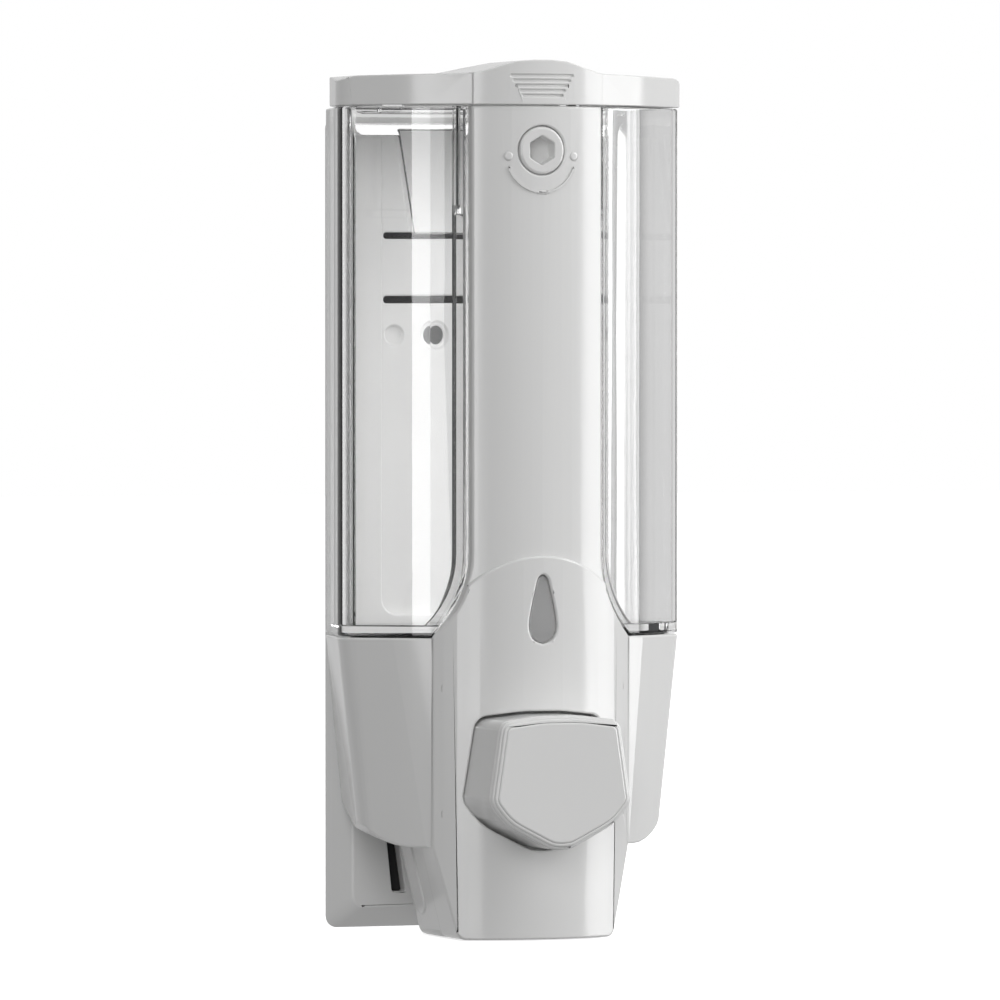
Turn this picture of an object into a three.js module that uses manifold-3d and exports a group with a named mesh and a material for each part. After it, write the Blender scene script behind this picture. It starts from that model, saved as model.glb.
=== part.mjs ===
// Wall-mounted soap dispenser: back plate, clear tank, front housing with a push button, piston pump,
// hinged lid and a hex-key cam lock.
// Millimetres. X to the right, Z up, and the wall is the plane Y = 0, so the front faces -Y. Heights are
// counted from the foot of the spout shroud, and the whole model is lowered by half its height at the end.
// Outlines are drawn with F, the distance forward from the wall, which is -Y.
import * as THREE from 'three';
import { mergeVertices } from 'three/addons/utils/BufferGeometryUtils.js';
import Module from 'manifold-3d';

const wasm = await Module();
wasm.setup();

// ---------- driving dimensions ----------
const GAP = 0.3;                    // clearance between touching pieces
const ARC_STEP = 10;                // degrees between the points of a round outline
const MARGIN = 2;                   // how far a cutting tool runs past what it cuts

// Heights above the lowest point of the spout shroud
const LID_TOP = 210;
const LID_DEPTH = 10.7;
const LID_BOTTOM = LID_TOP - LID_DEPTH;
const LID_HUMP = 3.1;               // how far the lid's middle rises over the rest
const LID_EDGE_TOP = LID_TOP - LID_HUMP;         // top of the lid away from its raised middle
const TANK_BOTTOM = 72.3;
const WING_BOTTOM = 21.9;
const WING_REAR_BOTTOM = 31.5;       // the wings' underside rises towards the wall
const WING_SLOPE_F = 38;            // where that slope begins
const ARCH_TOP = 91.6;

// Body outline seen from above: half widths (X) and distances from the wall (F)
const BODY_REAR_HALF = 37.3;
const BODY_REAR_F = 2.4;
const BODY_SIDE_HALF = 44.3;
const BODY_SIDE_F = 30.5;
const BODY_SIDE_RADIUS = 6;
const BODY_FLANK_HALF = 30;
const BODY_FLANK_F = 41.4;
const BODY_FLANK_RADIUS = 30;
const WING_TAPER = 0.874;           // width of the wings at their foot over their width at the top
const WING_FOOT_RADIUS = 12;
const WING_FOOT_DRAFT = 5.4;        // how far in the foot's corner stands from the widest point

// Curved front of the column and of the shield under it
const FRONT_F = 51.5;
const FRONT_RADIUS = 42.5;
const COLUMN_STEP = 0.8;            // the column stands this far behind the shield
const COLUMN_HALF = 16.6;
const COLUMN_REAR_F = 42;
const FLARE_RADIUS = 27;
const FLARE_RISE = 20;              // height of the flare above the wings
const SHIELD_HALF = 25.2;
const SHIELD_KNEE_RADIUS = 8;
const SPOUT_CORNER_RADIUS = 2.2;
const SPOUT_WINDOW_HALF = 8;        // opening in the wings' floor for the spout tube
const SPOUT_FOOT_HALF = 19.8;
const SPOUT_REAR_F = 19.5;
const SHROUD_SEAM_F = 35;           // behind this the shroud's sides stand back
const SHROUD_STEP = 0.4;
const TAB_REAR_F = 21;              // raised strip on each side of the shroud
const TAB_FRONT_F = 28;
const TAB_BOTTOM = 5;
const ARCH_RADIUS = 26.7;
const HOUSING_WALL = 2.2;

// Tank
const TANK_WALL = 2;
const TANK_FLOOR = 2.4;
const TANK_SKIRT_WALL = 1.8;
const TANK_SKIRT_DEPTH = 5.3;
const TANK_TO_COLUMN = 0.4;
const LOCK_POCKET_HALF = 14.6;      // deeper recess in the tank, behind the lock
const LOCK_POCKET_REAR_F = 37;
const LOCK_POCKET_DROP = 24.3;      // from the lid down to the foot of that recess
const LOCK_POCKET_BOTTOM = LID_BOTTOM - LOCK_POCKET_DROP;
const SPIGOT_BOTTOM = 61.3;
const SPIGOT_BORE = 4;
const TANK_SCREW_X = 27;
const TANK_SCREW_F = 24;
const TANK_SCREW_BOSS = 3;
const LEDGE_Z = 61;
const LEDGE_THICKNESS = 2.5;
const LEDGE_HALF = 4;

// Lid and its hinge
const LID_WALL = 1.8;
const LID_OVERHANG = 0.5;
const LID_REAR_RADIUS = 12;
const LID_RIDGE_DEPTH = 16;         // how far back the raised middle stays level
const RIDGE_HALF = 6.5;
const HINGE_F = 8.6;
const HINGE_Z = LID_BOTTOM + 4.8;
const HINGE_BARREL_RADIUS = 2.4;
const HINGE_PIN_RADIUS = 1.1;
const HINGE_LUG_X = 23;
const HINGE_LUG_WIDTH = 5.4;
const HINGE_PIN_LENGTH = 15;
const GRIP_COUNT = 5;
const GRIP_TOP = LID_TOP - 3.8;
const GRIP_HEIGHT = 0.6;
const GRIP_DEPTH = 0.5;
const GRIP_PITCH = 1.2;
const GRIP_TOP_HALF = 8.1;
const GRIP_BOTTOM_HALF = 5.1;

// Lock
const LOCK_Z = LID_BOTTOM - 10.9;
const LOCK_FACE_RADIUS = 5.7;
const LOCK_FLANGE_DEPTH = 1.5;
const LOCK_BARREL_RADIUS = 4.6;
const LOCK_BOSS_RADIUS = 6.6;
const LOCK_BOSS_REAR_F = 43;
const LOCK_HEX_ACROSS_FLATS = 6.2;
const LOCK_HEX_DEPTH = 4;
const CAM_THICKNESS = 2;
const CAM_REACH = 9.6;
const CAM_HALF_HEIGHT = 1.9;
const CAM_HUB_RADIUS = 4.5;
const SHANK_HALF = 2.5;
const WASHER_THICKNESS = 1;
const KEEPER_THICKNESS = 2;
const KEEPER_HEIGHT = 1.8;
const KEEPER_STEM = 5;              // how far the keeper's stem goes up into the lid
const KEEPER_SOCKET_WALL = 1.2;
const KEEPER_UNDER_CAM = 0.5;

// Back plate and wall pad
const PLATE_HALF = 36.8;
const PLATE_FACE_HALF = 31.5;
const PLATE_DEPTH = 5.4;
const PLATE_CORNER = 3;
const PLATE_CLEARANCE = 0.5;        // between the plate and the body hung on it
const PLATE_BOTTOM = 0.6;
const PLATE_TOP = LID_BOTTOM - 2;
const CHANNEL_HALF = 23.9;
const CHANNEL_FLOOR_F = 3.6;
const CHANNEL_BOTTOM = 76.6;
const CHANNEL_CORNER = 4;
const GUIDE_CLEARANCE = 0.6;
const GUIDE_DEPTH = 0.7;
const SLOT_HEIGHTS = [[167.6, 169.2], [152, 153.8]];
const SLOT_CORNER = 0.75;
const LOW_SLOT_BOTTOM = 9.5;
const LOW_SLOT_TOP = 30;
const LOW_SLOT_BOTTOM_X = [17.9, 21.3];
const LOW_SLOT_TOP_X = [20.9, 23.5];
const PAD_DEPTH = 1.5;
const PAD_BORDER = 3;
const SCREW_HOLE_RADIUS = 2.3;
const SCREW_HOLE_X = 9.7;
const SCREW_HOLE_Z = 144.3;
const SCREW_RING_RADIUS = 3.3;
const SCREW_RING_DEPTH = 0.5;
const KNOCKOUT_X = 20.3;
const KNOCKOUT_DEPTH = 1;
const HOOK_TOP_HALF = 19.7;
const HOOK_BOTTOM_HALF = 15.6;
const HOOK_TOP = PLATE_TOP - 3.3;
const HOOK_BOTTOM = HOOK_TOP - 25;

// Button and pump
const BUTTON_FACE_F = 64;
const BUTTON_TRAVEL = 8;
const BUTTON_WALL = 2;
const BUTTON_CLEARANCE = 0.7;
const BUTTON_LIP = 1.2;
const BUTTON_LIP_DEPTH = 1.3;
const BUTTON_HALF = 18.2;
const BUTTON_TOP = 53.9;
const BUTTON_BOTTOM = 21.9;
const BUTTON_EDGE_RADIUS = 1.6;
const PUMP_Z = 42;
const PUMP_BORE = 8;
const PUMP_WALL = 2;
const PUMP_REAR_F = 12.7;
const BRACKET_THICKNESS = 2.2;
const OUTLET_F = 17.5;
const PORT_RADIUS = 1.8;
const ROD_RADIUS = 3;
const BALL_RADIUS = 2.8;
const SPIGOT_RADIUS = 7.6;
const POST_RADIUS = 2.3;
const POST_X = 21.2;
const POST_LOW_Z = 30;
const POST_HIGH_Z = 60;
const SCREW_RADIUS = 1.1;
const SCREW_HEAD_RADIUS = 2.5;
const SCREW_HEAD_HEIGHT = 1.6;
const SPRING_RADIUS = 6.4;
const SPRING_WIRE = 0.55;           // radius of the wire
const SPRING_TURNS = 5;

// Spout tube and nozzle
const NOZZLE_F = 27;
const NOZZLE_TOP = 12;
const SPOUT_OUTER = 3.2;
const SPOUT_INNER = 2;

// Sight window, a drop with its point up: [share of the height, share of the half width]
const DROP_BOTTOM = 70.9;
const DROP_TOP = 86.9;
const DROP_HALF = 3.3;
const DROP_FLANGE = 1.6;
const DROP_PROFILE = [
  [0.03, 0.45], [0.1, 0.82], [0.24, 1], [0.42, 0.92], [0.62, 0.74], [0.82, 0.52], [0.95, 0.34],
];

// ---------- finishes ----------
function finish(color, roughness, metalness = 0) {
  return () => new THREE.MeshStandardMaterial({ color, roughness, metalness });
}
const whitePlastic = finish(0xe8e8e6, 0.22);
const innerPlastic = finish(0xdcdcd8, 0.45);
const clearPlastic = () => new THREE.MeshStandardMaterial({
  color: 0xdfe5e4, roughness: 0.05, metalness: 0, transparent: true, opacity: 0.35,
});
const blackRubber = finish(0x1b1b1b, 0.8);
const greyRubber = finish(0x8c8c8a, 0.8);
const steel = finish(0xb9bcc0, 0.3, 1);
const zinc = finish(0xc9cac8, 0.35, 0.9);
const darkFoam = finish(0x2c2c2e, 0.95);

// ---------- outlines ----------
// Corners are [x, y] or [x, y, radius]. A corner with a radius becomes an arc.
function rounded(corners) {
  const points = [];
  const count = corners.length;
  corners.forEach(([x, y, radius = 0], index) => {
    const corner = new THREE.Vector2(x, y);
    if (radius === 0) {
      points.push(corner);
      return;
    }
    const [beforeX, beforeY] = corners[(index + count - 1) % count];
    const [afterX, afterY] = corners[(index + 1) % count];
    const back = new THREE.Vector2(beforeX, beforeY).sub(corner).normalize();
    const ahead = new THREE.Vector2(afterX, afterY).sub(corner).normalize();
    const halfAngle = Math.acos(THREE.MathUtils.clamp(back.dot(ahead), -1, 1)) / 2;
    const centre = back.clone().add(ahead).normalize();
    centre.multiplyScalar(radius / Math.sin(halfAngle)).add(corner);
    const reach = radius / Math.tan(halfAngle);
    const from = back.clone().multiplyScalar(reach).add(corner).sub(centre).angle();
    const to = ahead.clone().multiplyScalar(reach).add(corner).sub(centre).angle();
    let sweep = to - from;
    if (sweep > Math.PI) sweep -= 2 * Math.PI;
    if (sweep < -Math.PI) sweep += 2 * Math.PI;
    const steps = Math.max(1, Math.ceil(Math.abs(sweep) / THREE.MathUtils.degToRad(ARC_STEP)));
    for (let step = 0; step <= steps; step += 1) {
      const angle = from + sweep * step / steps;
      points.push(new THREE.Vector2(
        centre.x + radius * Math.cos(angle),
        centre.y + radius * Math.sin(angle),
      ));
    }
  });
  return points;
}

// The right half of a symmetric outline, lowest point first, gives the whole outline.
function symmetric(half) {
  const left = half.map(([x, y, radius]) => [-x, y, radius]).reverse();
  return rounded([...half, ...left]);
}

// An outline on the other side of the middle, still anticlockwise
function mirrored(points) {
  return points.map((point) => new THREE.Vector2(-point.x, point.y)).reverse();
}

// The same outline moved inwards by a distance. Its corners run anticlockwise.
function inset(points, distance) {
  const count = points.length;
  return points.map((point, index) => {
    const before = points[(index + count - 1) % count];
    const after = points[(index + 1) % count];
    const into = point.clone().sub(before).normalize();
    const out = after.clone().sub(point).normalize();
    const normalIn = new THREE.Vector2(-into.y, into.x);
    const normalOut = new THREE.Vector2(-out.y, out.x);
    const middle = normalIn.add(normalOut).normalize();
    const stretch = Math.max(0.3, middle.dot(normalOut));
    return point.clone().addScaledVector(middle, distance / stretch);
  });
}

function circle(x, y, radius, steps = 24) {
  const points = [];
  for (let step = 0; step < steps; step += 1) {
    const angle = 2 * Math.PI * step / steps;
    points.push(new THREE.Vector2(x + radius * Math.cos(angle), y + radius * Math.sin(angle)));
  }
  return points;
}

function rectangle(x0, y0, x1, y1, radius = 0) {
  return rounded([[x0, y0, radius], [x1, y0, radius], [x1, y1, radius], [x0, y1, radius]]);
}

// ---------- solids ----------
function solid(geometry) {
  const bare = geometry.index ? geometry.toNonIndexed() : geometry.clone();
  bare.deleteAttribute('normal');
  bare.deleteAttribute('uv');
  const merged = mergeVertices(bare, 1e-4);
  return new wasm.Manifold(new wasm.Mesh({
    numProp: 3,
    vertProperties: new Float32Array(merged.attributes.position.array),
    triVerts: new Uint32Array(merged.index.array),
  }));
}

function union(first, ...others) {
  return others.reduce((sum, other) => sum.add(other), first);
}

function cut(first, ...others) {
  return others.reduce((sum, other) => sum.subtract(other), first);
}

function extrusion(points, depth) {
  return new THREE.ExtrudeGeometry(new THREE.Shape(points), { depth, bevelEnabled: false });
}

// An outline in (X, F) raised from z0 to z1. The foot may be narrower than the top.
function fromAbove(points, z0, z1, footScale = 1) {
  const flipped = points.map((point) => new THREE.Vector2(point.x, -point.y));
  const geometry = extrusion(flipped, z1 - z0);
  const position = geometry.attributes.position;
  for (let index = 0; index < position.count; index += 1) {
    if (position.getZ(index) < (z1 - z0) / 2) position.setX(index, position.getX(index) * footScale);
  }
  return solid(geometry.translate(0, 0, z0));
}

// An outline in (X, Z) carried from the distance f0 to f1 in front of the wall.
function fromFront(points, f0, f1) {
  return solid(extrusion(points, f1 - f0).rotateX(Math.PI / 2).translate(0, -f0, 0));
}

// An outline in (F, Z) carried from x0 to x1.
function fromSide(points, x0, x1) {
  const geometry = extrusion(points.map((point) => new THREE.Vector2(-point.x, point.y)), x1 - x0);
  const axes = new THREE.Matrix4().makeBasis(
    new THREE.Vector3(0, 1, 0), new THREE.Vector3(0, 0, 1), new THREE.Vector3(1, 0, 0),
  );
  return solid(geometry.applyMatrix4(axes).translate(x0, 0, 0));
}

function box(x0, x1, f0, f1, z0, z1) {
  return fromAbove(rectangle(x0, f0, x1, f1), z0, z1);
}

// A plate whose front face is narrower than its rear face
function taperedPlate(rear, front, depth) {
  const geometry = extrusion(rear, depth).rotateX(Math.PI / 2);
  const position = geometry.attributes.position;
  for (let index = 0; index < position.count; index += 1) {
    if (position.getY(index) > -depth / 2) continue;
    const x = position.getX(index);
    const z = position.getZ(index);
    const match = rear.findIndex((point) => Math.hypot(point.x - x, point.y - z) < 1e-3);
    position.setX(index, front[match].x);
    position.setZ(index, front[match].y);
  }
  return solid(geometry);
}

// Round about an upright axis: profile points are [radius, z].
function turnedUpright(profile, x, f, steps = 24) {
  const points = profile.map(([radius, z]) => new THREE.Vector2(radius, z));
  return solid(new THREE.LatheGeometry(points, steps).rotateX(Math.PI / 2).translate(x, -f, 0));
}

// Round about an axis towards the wall: profile points are [radius, F].
function turnedForward(profile, x, z, steps = 24) {
  const points = profile.map(([radius, f]) => new THREE.Vector2(radius, -f));
  return solid(new THREE.LatheGeometry(points, steps).translate(x, 0, z));
}

function rod(radius, f0, f1, x, z, steps = 24) {
  return turnedForward([[0, f1], [radius, f1], [radius, f0], [0, f0]], x, z, steps);
}

function upright(radius, z0, z1, x, f, steps = 24) {
  return turnedUpright([[0, z0], [radius, z0], [radius, z1], [0, z1]], x, f, steps);
}

function ring(inner, outer, z0, z1, x, f, steps = 24) {
  return turnedUpright([[inner, z0], [outer, z0], [outer, z1], [inner, z1], [inner, z0]], x, f, steps);
}

const dispenser = new THREE.Group();
dispenser.name = 'soap_dispenser';
dispenser.position.z = -LID_TOP / 2;   // the origin is half way up, on the wall

function place(name, body, material) {
  const mesh = body.getMesh();
  const geometry = new THREE.BufferGeometry();
  geometry.setAttribute('position', new THREE.BufferAttribute(new Float32Array(mesh.vertProperties), 3));
  geometry.setIndex(new THREE.BufferAttribute(new Uint32Array(mesh.triVerts), 1));
  geometry.computeVertexNormals();
  const piece = new THREE.Mesh(geometry, material());
  piece.name = name;
  dispenser.add(piece);
}

// ---------- shared outlines of the body ----------
// Body seen from above, without the column: rear, side, flank, front.
function bodyOutline(extra = 0, rearRadius = 0, rearF = BODY_REAR_F) {
  const flare = (BODY_SIDE_HALF - BODY_REAR_HALF) / (BODY_SIDE_F - BODY_REAR_F);
  return symmetric([
    [BODY_REAR_HALF + (rearF - BODY_REAR_F) * flare + extra, rearF, rearRadius],
    [BODY_SIDE_HALF + extra, BODY_SIDE_F, BODY_SIDE_RADIUS],
    [BODY_FLANK_HALF, BODY_FLANK_F + extra, BODY_FLANK_RADIUS],
    [COLUMN_HALF, frontF(COLUMN_HALF, COLUMN_STEP) - 1 + extra],
  ]);
}

// F of the curved front at x, for a surface that stands back by a distance.
function frontF(x, back = 0) {
  const radius = FRONT_RADIUS - back;
  return FRONT_F - FRONT_RADIUS + Math.sqrt(radius * radius - x * x);
}

// A block with the curved front, from above: half width, rear F, and how far its front stands back.
function curvedBlock(half, rearF, back, z0, z1) {
  const steps = 20;
  const points = [new THREE.Vector2(-half, rearF), new THREE.Vector2(half, rearF)];
  for (let step = 0; step <= steps; step += 1) {
    const x = half - 2 * half * step / steps;
    points.push(new THREE.Vector2(x, frontF(x, back)));
  }
  return fromAbove(points, z0, z1);
}

// Front view of the column, its flare and the shield and shroud below, grown by a distance.
function shieldOutline(grow, foot, top) {
  const radius = FLARE_RADIUS - grow;
  const half = SHIELD_HALF + grow;
  const footHalf = SPOUT_FOOT_HALF + grow;
  const centreX = COLUMN_HALF + FLARE_RADIUS;
  const centreZ = TANK_BOTTOM - GAP + FLARE_RISE;
  const flareEnd = Math.acos((centreX - half) / radius);
  const right = foot < 0 ? [[footHalf, foot], [footHalf, 0]] : [[footHalf, foot, SPOUT_CORNER_RADIUS]];
  right.push([half, WING_BOTTOM, SHIELD_KNEE_RADIUS]);
  const flareSteps = 8;
  for (let step = 0; step <= flareSteps; step += 1) {
    const angle = flareEnd * (1 - step / flareSteps);
    right.push([centreX - radius * Math.cos(angle), centreZ - radius * Math.sin(angle)]);
  }
  right.push([COLUMN_HALF + grow, top]);
  return symmetric(right);
}

// ---------- front housing ----------
const columnFrontF = FRONT_F - COLUMN_STEP;
const columnTop = LID_BOTTOM - GAP;
const wingTop = TANK_BOTTOM - GAP;
const bodyPlan = bodyOutline();
const wingFoot = BODY_SIDE_HALF - WING_FOOT_DRAFT;

function wingFrontView(wall) {
  return symmetric([
    [wingFoot - wall, WING_BOTTOM + wall, WING_FOOT_RADIUS - wall],
    [BODY_SIDE_HALF - wall + 1, wingTop + MARGIN],
  ]);
}

// Side view of the wings: the underside rises towards the wall.
function wingSideView(wall) {
  return [
    new THREE.Vector2(-MARGIN, WING_REAR_BOTTOM + wall),
    new THREE.Vector2(BODY_REAR_F, WING_REAR_BOTTOM + wall),
    new THREE.Vector2(WING_SLOPE_F, WING_BOTTOM + wall),
    new THREE.Vector2(FRONT_F, WING_BOTTOM + wall),
    new THREE.Vector2(FRONT_F, wingTop + MARGIN),
    new THREE.Vector2(-MARGIN, wingTop + MARGIN),
  ];
}

function openRear(points) {
  const nearRear = BODY_REAR_F + HOUSING_WALL + GAP;
  return points.map((point) => (point.y < nearRear ? new THREE.Vector2(point.x, 0) : point));
}

const archZ = ARCH_TOP - ARCH_RADIUS;
function archOutline() {
  const half = SHIELD_HALF + 8;
  const points = [new THREE.Vector2(-half, -MARGIN), new THREE.Vector2(half, -MARGIN)];
  points.push(new THREE.Vector2(half, archZ));
  const steps = 30;
  for (let step = 0; step <= steps; step += 1) {
    const angle = Math.PI * step / steps;
    points.push(new THREE.Vector2(ARCH_RADIUS * Math.cos(angle), archZ + ARCH_RADIUS * Math.sin(angle)));
  }
  points.push(new THREE.Vector2(-half, archZ));
  return points;
}

// Front view of the button, grown by a distance.
function buttonOutline(grow) {
  return symmetric([
    [2.5 + grow / 2, BUTTON_BOTTOM - grow, 8],
    [BUTTON_HALF - 4.1 + grow * 0.8, BUTTON_BOTTOM + 6 - grow * 0.8, 14],
    [BUTTON_HALF + grow, BUTTON_BOTTOM + 11.3, 4],
    [BUTTON_HALF - 2.9 + grow, BUTTON_TOP - 1.3 + grow, 3 + grow],
    [5, BUTTON_TOP + grow, 20],
  ]);
}

// Front view of the sight window, grown by a distance.
function dropOutline(grow) {
  const bottom = DROP_BOTTOM - grow;
  const height = DROP_TOP - DROP_BOTTOM + 2 * grow;
  const right = DROP_PROFILE.map(([up, out]) => new THREE.Vector2(
    (DROP_HALF + grow) * out, bottom + height * up));
  const left = mirrored(right);
  const loop = new THREE.SplineCurve([
    new THREE.Vector2(0, bottom), ...right, new THREE.Vector2(0, bottom + height), ...left,
    new THREE.Vector2(0, bottom),
  ]);
  return loop.getPoints(44).slice(0, -1);
}

// Side view of the raised strip on the shroud, round at its foot
function tabOutline() {
  const radius = (TAB_FRONT_F - TAB_REAR_F) / 2;
  return rounded([
    [TAB_REAR_F, TAB_BOTTOM, radius * 0.99], [TAB_FRONT_F, TAB_BOTTOM, radius * 0.99],
    [TAB_FRONT_F, WING_BOTTOM + MARGIN], [TAB_REAR_F, WING_BOTTOM + MARGIN],
  ]);
}

function frontHousing() {
  const topCut = wingTop + MARGIN;
  const foot = -MARGIN;
  const widest = BODY_SIDE_HALF + MARGIN;
  const wings = fromAbove(bodyPlan, WING_BOTTOM, wingTop, WING_TAPER)
    .intersect(fromFront(wingFrontView(0), 0, FRONT_F))
    .intersect(fromSide(wingSideView(0), -widest, widest));
  const hollowPlan = openRear(inset(bodyPlan, HOUSING_WALL));
  const wingHollow = fromAbove(hollowPlan, WING_BOTTOM, wingTop, WING_TAPER)
    .add(fromAbove(hollowPlan, wingTop - GAP, topCut))
    .intersect(fromFront(wingFrontView(HOUSING_WALL), 0, FRONT_F))
    .intersect(fromSide(wingSideView(HOUSING_WALL), -widest, widest));

  const shieldView = shieldOutline(0, 0, columnTop);
  const sideTab = fromFront(shieldOutline(0, 0, columnTop), SPOUT_REAR_F, SHROUD_SEAM_F)
    .intersect(fromSide(tabOutline(), -widest, widest));
  const front = union(fromFront(shieldView, SHROUD_SEAM_F, FRONT_F + MARGIN),
    fromFront(shieldOutline(-SHROUD_STEP, 0, columnTop), SPOUT_REAR_F, SHROUD_SEAM_F + 1), sideTab);
  const column = front.intersect(curvedBlock(SHIELD_HALF, 0, COLUMN_STEP, 0, columnTop));
  const shield = front.intersect(curvedBlock(SHIELD_HALF, 0, 0, 0, columnTop))
    .intersect(fromFront(archOutline(), 0, FRONT_F + MARGIN));
  const behindColumn = box(-COLUMN_HALF - FLARE_RADIUS, COLUMN_HALF + FLARE_RADIUS,
    0, COLUMN_REAR_F, wingTop, columnTop + MARGIN);
  // Room in the column for the lid's keeper as it swings up past the front wall
  const keeperRoom = box(LOCK_BOSS_RADIUS + 0.1, keeperX + KEEPER_THICKNESS + GAP,
    COLUMN_REAR_F - 1, keeperSwingF + GAP, keeperBottom - GAP, columnTop + MARGIN);
  const hollowView = fromFront(shieldOutline(-HOUSING_WALL, foot, columnTop + MARGIN),
    SPOUT_REAR_F - MARGIN, FRONT_F);
  const hollow = hollowView.intersect(
    curvedBlock(SHIELD_HALF, 0, HOUSING_WALL + COLUMN_STEP, foot, columnTop + MARGIN));

  // Boss that carries the lock, and the posts that carry the pump bracket
  const boss = rod(LOCK_BOSS_RADIUS, LOCK_BOSS_REAR_F, columnFrontF - 1, 0, LOCK_Z);
  const posts = [];
  const pilots = [];
  for (const side of [-1, 1]) {
    for (const z of [POST_LOW_Z, POST_HIGH_Z]) {
      const root = frontF(POST_X, HOUSING_WALL / 2);
      posts.push(rod(POST_RADIUS, bracketFrontF + GAP, root, side * POST_X, z, 16));
      pilots.push(rod(SCREW_RADIUS + GAP, bracketFrontF, root - 1.5, side * POST_X, z, 12));
    }
  }
  // Ledges for the two screws that hold the tank down
  const ledges = [-1, 1].map((side) => box(
    side < 0 ? -BODY_SIDE_HALF : TANK_SCREW_X - LEDGE_HALF,
    side < 0 ? LEDGE_HALF - TANK_SCREW_X : BODY_SIDE_HALF,
    TANK_SCREW_F - LEDGE_HALF, TANK_SCREW_F + LEDGE_HALF,
    LEDGE_Z, LEDGE_Z + LEDGE_THICKNESS).intersect(wings));
  const ledgeHoles = [-1, 1].map((side) => upright(SCREW_RADIUS + GAP,
    LEDGE_Z - 1, LEDGE_Z + LEDGE_THICKNESS + 1, side * TANK_SCREW_X, TANK_SCREW_F, 12));

  const spoutWindow = box(-SPOUT_WINDOW_HALF, SPOUT_WINDOW_HALF, OUTLET_F - SPOUT_WINDOW_HALF,
    SPOUT_REAR_F, WING_BOTTOM - 1, WING_REAR_BOTTOM + HOUSING_WALL + GAP);
  const shell = cut(union(wings, union(column, shield).subtract(behindColumn)),
    wingHollow, hollow, spoutWindow, plateRoom, keeperRoom);
  const withBosses = union(shell, boss, ...posts, ...ledges, ...lockMarks());
  return cut(withBosses,
    rod(LOCK_FACE_RADIUS + GAP, columnFrontF - LOCK_FLANGE_DEPTH, FRONT_F + MARGIN, 0, LOCK_Z, 36),
    rod(LOCK_BARREL_RADIUS + GAP, LOCK_BOSS_REAR_F - 1, FRONT_F, 0, LOCK_Z),
    fromFront(dropOutline(GAP), frontF(0, HOUSING_WALL + 4), FRONT_F + MARGIN),
    fromFront(buttonOutline(BUTTON_CLEARANCE), SPOUT_REAR_F + 10, FRONT_F + MARGIN)
      .subtract(box(-SHIELD_HALF, SHIELD_HALF, 0, 38, 0, TANK_BOTTOM)),
    ...pilots, ...ledgeHoles);
}

// Raised dots, arc and centre mark around the lock
function lockMarks() {
  const proud = 0.3;
  const arcZ = LOCK_Z - 1.1;
  const arcRadius = 8.9;
  const arcWidth = 0.5;
  const from = THREE.MathUtils.degToRad(198);
  const to = THREE.MathUtils.degToRad(342);
  const steps = 20;
  const band = [];
  for (let step = 0; step <= steps; step += 1) {
    const angle = from + (to - from) * step / steps;
    band.push(new THREE.Vector2(
      (arcRadius + arcWidth / 2) * Math.cos(angle),
      arcZ + (arcRadius + arcWidth / 2) * Math.sin(angle)));
  }
  for (let step = steps; step >= 0; step -= 1) {
    const angle = from + (to - from) * step / steps;
    band.push(new THREE.Vector2(
      (arcRadius - arcWidth / 2) * Math.cos(angle),
      arcZ + (arcRadius - arcWidth / 2) * Math.sin(angle)));
  }
  const skin = curvedBlock(COLUMN_HALF, COLUMN_REAR_F, COLUMN_STEP - proud, LOCK_Z - 20, columnTop);
  const rootF = frontF(10, COLUMN_STEP + 1);
  const outlines = [
    band,
    circle(-8.4, LOCK_Z - 1.4, 1.15, 16),
    circle(8.4, LOCK_Z - 1.4, 1.15, 16),
    rectangle(-1.4, arcZ - arcRadius - 0.55, 1.4, arcZ - arcRadius + 0.55, 0.5),
  ];
  return outlines.map((outline) => fromFront(outline, rootF, FRONT_F + MARGIN).intersect(skin));
}

const lipHalf = BUTTON_HALF + BUTTON_CLEARANCE + BUTTON_LIP;
const buttonRearF = frontF(lipHalf, HOUSING_WALL + COLUMN_STEP) - GAP - BUTTON_LIP_DEPTH;
const bracketFrontF = buttonRearF - BUTTON_TRAVEL - 0.4;
const bracketRearF = bracketFrontF - BRACKET_THICKNESS;

const bracketScrewTip = bracketFrontF + 4.5;

// Lock and keeper depths, from the boss towards the wall
const camFrontF = LOCK_BOSS_REAR_F - GAP - WASHER_THICKNESS - GAP;
const camRearF = camFrontF - CAM_THICKNESS;
const keeperX = CAM_REACH + GAP * 3;
const keeperTop = LOCK_Z - CAM_HALF_HEIGHT - KEEPER_UNDER_CAM;
const keeperBottom = keeperTop - KEEPER_HEIGHT;
const keeperFrontF = camFrontF - GAP;
const keeperSwingF = HINGE_F + Math.hypot(keeperFrontF - HINGE_F, HINGE_Z - keeperBottom);

// The back plate's outline, and the room that the body leaves round it
function plateShape(border) {
  return symmetric([[PLATE_HALF - border, PLATE_BOTTOM + border, PLATE_CORNER],
    [PLATE_HALF - border, PLATE_TOP - border, PLATE_CORNER]]);
}
const plateBevel = PLATE_HALF - PLATE_FACE_HALF;
const plateRoom = taperedPlate(plateShape(-PLATE_CLEARANCE), plateShape(plateBevel - PLATE_CLEARANCE),
  PLATE_DEPTH + PLATE_CLEARANCE);

place('front_housing', frontHousing(), whitePlastic);

// ---------- clear tank ----------
const tankTop = LID_BOTTOM - GAP;
const tankRearF = PLATE_DEPTH + PLATE_CLEARANCE;
const rearWallTop = HINGE_Z - HINGE_BARREL_RADIUS - GAP;
const hingeHalf = HINGE_LUG_X + HINGE_PIN_LENGTH / 2 + 1;

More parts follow.
